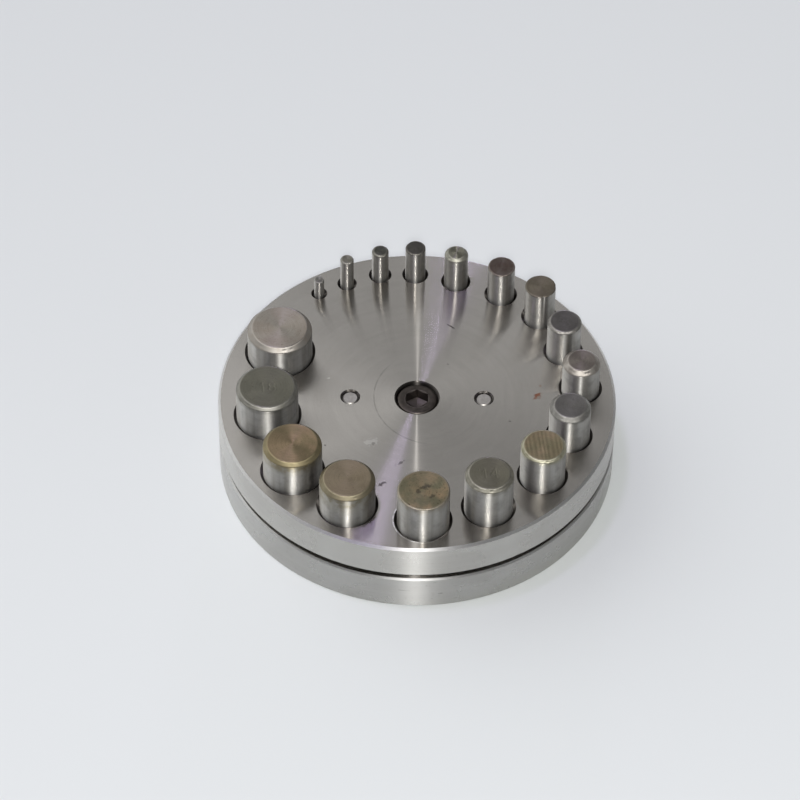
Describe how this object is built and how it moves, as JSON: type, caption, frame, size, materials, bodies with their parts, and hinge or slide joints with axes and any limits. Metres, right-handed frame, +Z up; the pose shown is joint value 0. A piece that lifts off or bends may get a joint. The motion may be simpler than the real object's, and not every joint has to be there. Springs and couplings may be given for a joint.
{
  "type": "jewelers disc cutter",
  "caption": "Two round steel plates clamped a sheet's thickness apart, with a graded set of loose round punches in holes round the rim for cutting discs from sheet metal.",
  "frame": {"origin": "centre of the underside of the die plate, on the bench that the cutter stands on", "axes": "+Z up along the plates' axis; +X to the right and +Y away from someone who has the largest punches at the left and the smallest at the back"},
  "size_m": [0.116, 0.116, 0.0393],
  "materials": {
    "plate_steel": "lathe-faced, fine circular grain",
    "spacer_steel": "ground",
    "black_oxide": "black oxide, lightly oiled",
    "dowel_steel": "hardened and ground",
    "punch_steel": "ground bright sides, turned and heat-tinted tops"
  },
  "bodies": {
    "root": {"guide_plate": "plate_steel", "die_plate": "plate_steel", "spacer_washer": "spacer_steel", "cap_screw": "black_oxide", "dowel_left": "dowel_steel", "dowel_right": "dowel_steel"},
    "punch_03mm": {"punch_03mm": "punch_steel"},
    "punch_04mm": {"punch_04mm": "punch_steel"},
    "punch_05mm": {"punch_05mm": "punch_steel"},
    "punch_06mm": {"punch_06mm": "punch_steel"},
    "punch_07mm": {"punch_07mm": "punch_steel"},
    "punch_08mm": {"punch_08mm": "punch_steel"},
    "punch_09mm": {"punch_09mm": "punch_steel"},
    "punch_10mm": {"punch_10mm": "punch_steel"},
    "punch_11mm": {"punch_11mm": "punch_steel"},
    "punch_12mm": {"punch_12mm": "punch_steel"},
    "punch_13mm": {"punch_13mm": "punch_steel"},
    "punch_14mm": {"punch_14mm": "punch_steel"},
    "punch_15mm": {"punch_15mm": "punch_steel"},
    "punch_16mm": {"punch_16mm": "punch_steel"},
    "punch_17mm": {"punch_17mm": "punch_steel"},
    "punch_18mm": {"punch_18mm": "punch_steel"},
    "punch_19mm": {"punch_19mm": "punch_steel"}
  },
  "joints": [
    {"name": "lift_03mm", "type": "slide", "parent": "root", "child": "punch_03mm", "axis": [0, 0, 1], "range_m": [0, 0.027]},
    {"name": "lift_04mm", "type": "slide", "parent": "root", "child": "punch_04mm", "axis": [0, 0, 1], "range_m": [0, 0.027]},
    {"name": "lift_05mm", "type": "slide", "parent": "root", "child": "punch_05mm", "axis": [0, 0, 1], "range_m": [0, 0.027]},
    {"name": "lift_06mm", "type": "slide", "parent": "root", "child": "punch_06mm", "axis": [0, 0, 1], "range_m": [0, 0.027]},
    {"name": "lift_07mm", "type": "slide", "parent": "root", "child": "punch_07mm", "axis": [0, 0, 1], "range_m": [0, 0.027]},
    {"name": "lift_08mm", "type": "slide", "parent": "root", "child": "punch_08mm", "axis": [0, 0, 1], "range_m": [0, 0.027]},
    {"name": "lift_09mm", "type": "slide", "parent": "root", "child": "punch_09mm", "axis": [0, 0, 1], "range_m": [0, 0.027]},
    {"name": "lift_10mm", "type": "slide", "parent": "root", "child": "punch_10mm", "axis": [0, 0, 1], "range_m": [0, 0.027]},
    {"name": "lift_11mm", "type": "slide", "parent": "root", "child": "punch_11mm", "axis": [0, 0, 1], "range_m": [0, 0.027]},
    {"name": "lift_12mm", "type": "slide", "parent": "root", "child": "punch_12mm", "axis": [0, 0, 1], "range_m": [0, 0.027]},
    {"name": "lift_13mm", "type": "slide", "parent": "root", "child": "punch_13mm", "axis": [0, 0, 1], "range_m": [0, 0.027]},
    {"name": "lift_14mm", "type": "slide", "parent": "root", "child": "punch_14mm", "axis": [0, 0, 1], "range_m": [0, 0.027]},
    {"name": "lift_15mm", "type": "slide", "parent": "root", "child": "punch_15mm", "axis": [0, 0, 1], "range_m": [0, 0.027]},
    {"name": "lift_16mm", "type": "slide", "parent": "root", "child": "punch_16mm", "axis": [0, 0, 1], "range_m": [0, 0.027]},
    {"name": "lift_17mm", "type": "slide", "parent": "root", "child": "punch_17mm", "axis": [0, 0, 1], "range_m": [0, 0.027]},
    {"name": "lift_18mm", "type": "slide", "parent": "root", "child": "punch_18mm", "axis": [0, 0, 1], "range_m": [0, 0.027]},
    {"name": "lift_19mm", "type": "slide", "parent": "root", "child": "punch_19mm", "axis": [0, 0, 1], "range_m": [0, 0.027]}
  ]
}
